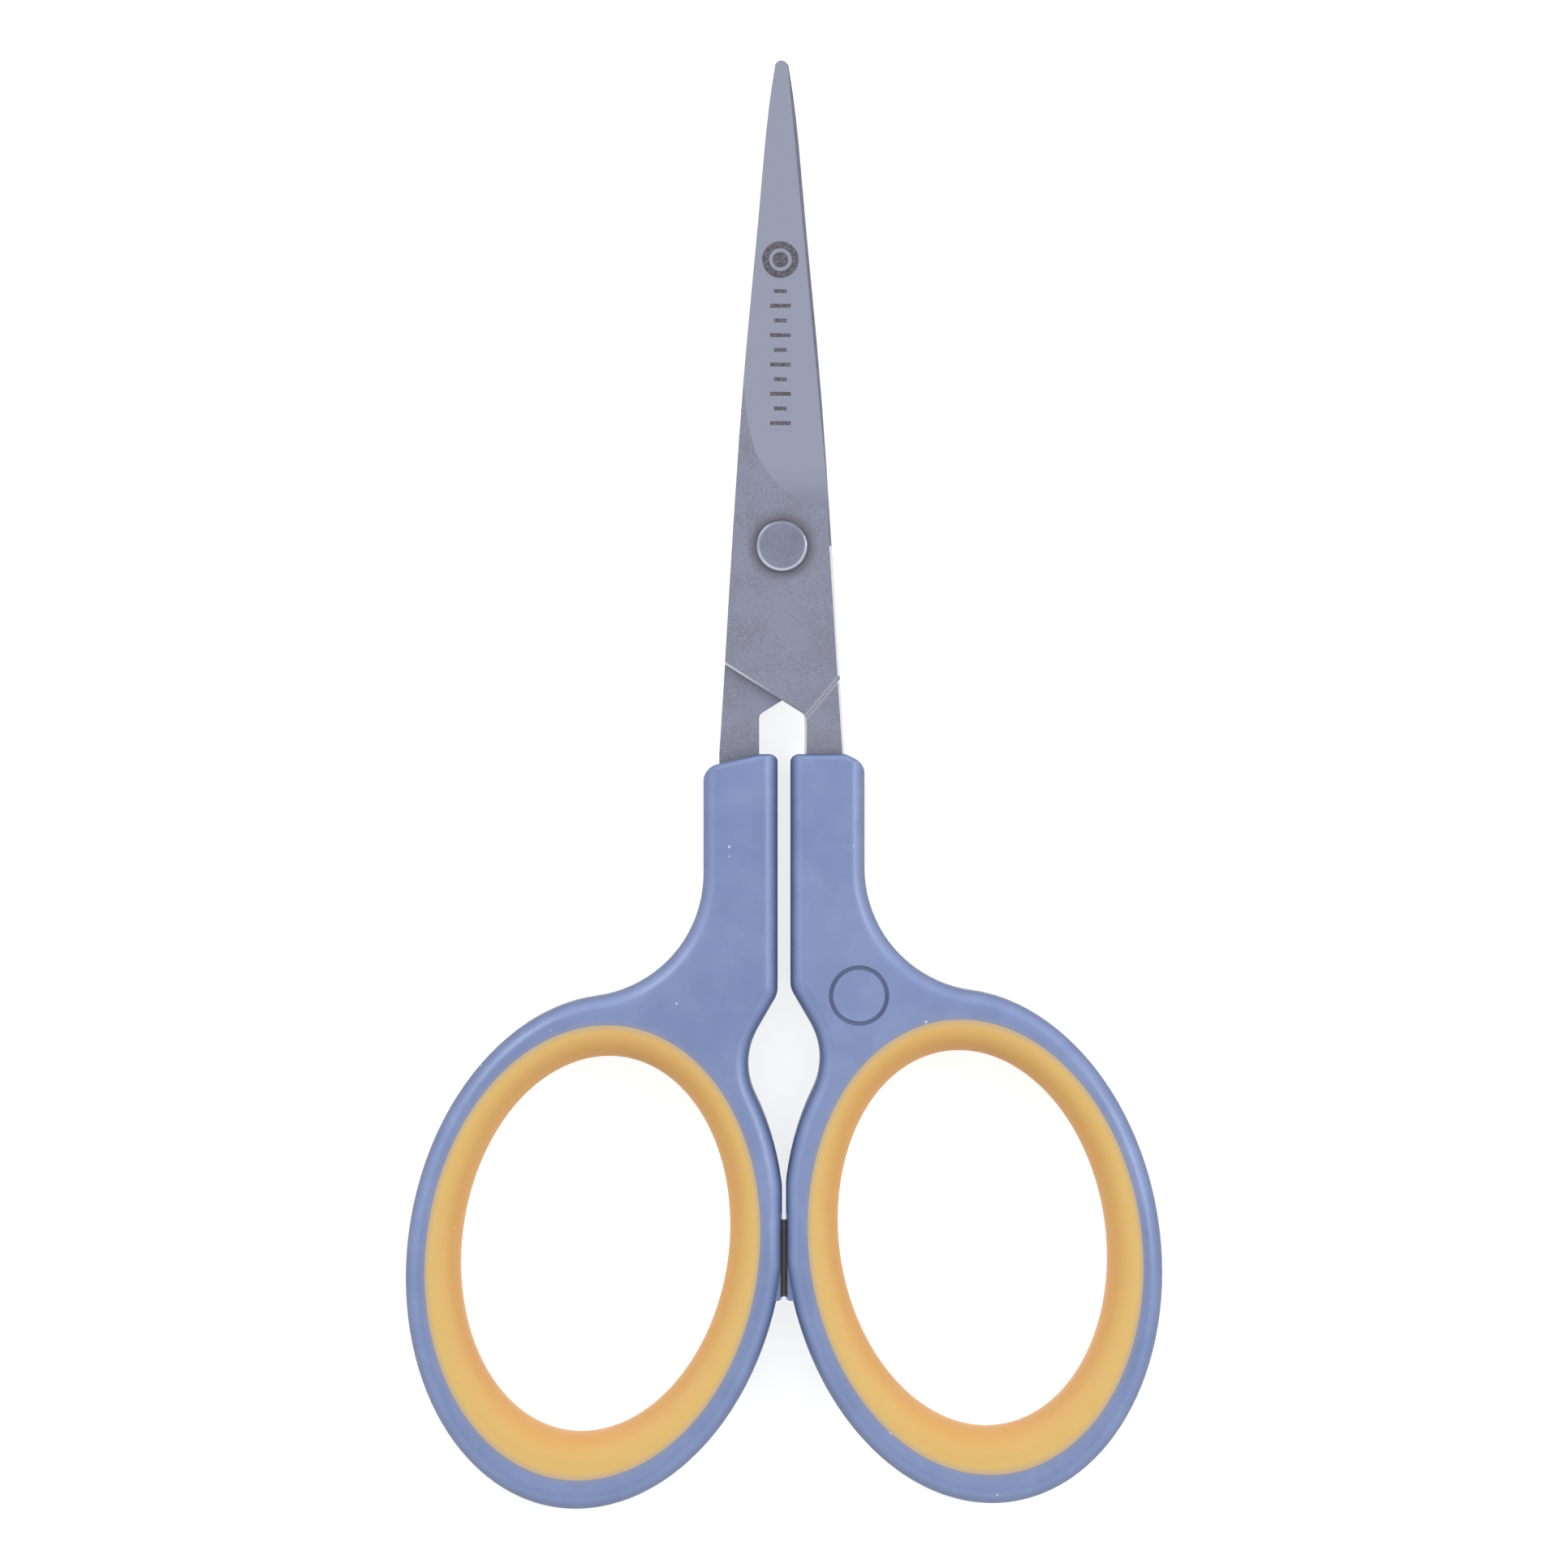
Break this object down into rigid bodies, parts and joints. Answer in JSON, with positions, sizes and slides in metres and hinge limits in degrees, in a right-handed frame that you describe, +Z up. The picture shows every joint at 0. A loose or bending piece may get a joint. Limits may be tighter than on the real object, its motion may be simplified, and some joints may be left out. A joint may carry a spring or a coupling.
{
  "type": "craft scissors",
  "caption": "Small straight craft scissors with pointed ground steel blades on a flat-headed rivet, moulded plastic handles and soft ring inserts in the finger loops.",
  "frame": {"origin": "on the surface that the closed scissors lie on, under the middle of their length and width", "axes": "+Z up from the table through the blades, +Y along the blades towards the tips, +X towards the handle of the upper blade"},
  "size_m": [0.053, 0.1016, 0.006],
  "materials": {
    "blade_steel": "fine satin, ground facet a little brighter",
    "rivet_steel": "satin, polished rim",
    "handle_plastic": "dusty blue, matte to satin",
    "grip_rubber": "warm yellow, soft matte"
  },
  "bodies": {
    "rear_half": {"rear_blade": "blade_steel", "pivot_rivet": "rivet_steel", "left_handle": "handle_plastic", "left_grip": "grip_rubber"},
    "front_half": {"front_blade": "blade_steel", "right_handle": "handle_plastic", "right_grip": "grip_rubber"}
  },
  "joints": [
    {"name": "blade_pivot", "type": "hinge", "parent": "rear_half", "child": "front_half", "pos_m": [-0.00015, 0.0167, 0.003], "axis": [0, 0, 1], "range_deg": [0, 135]}
  ]
}
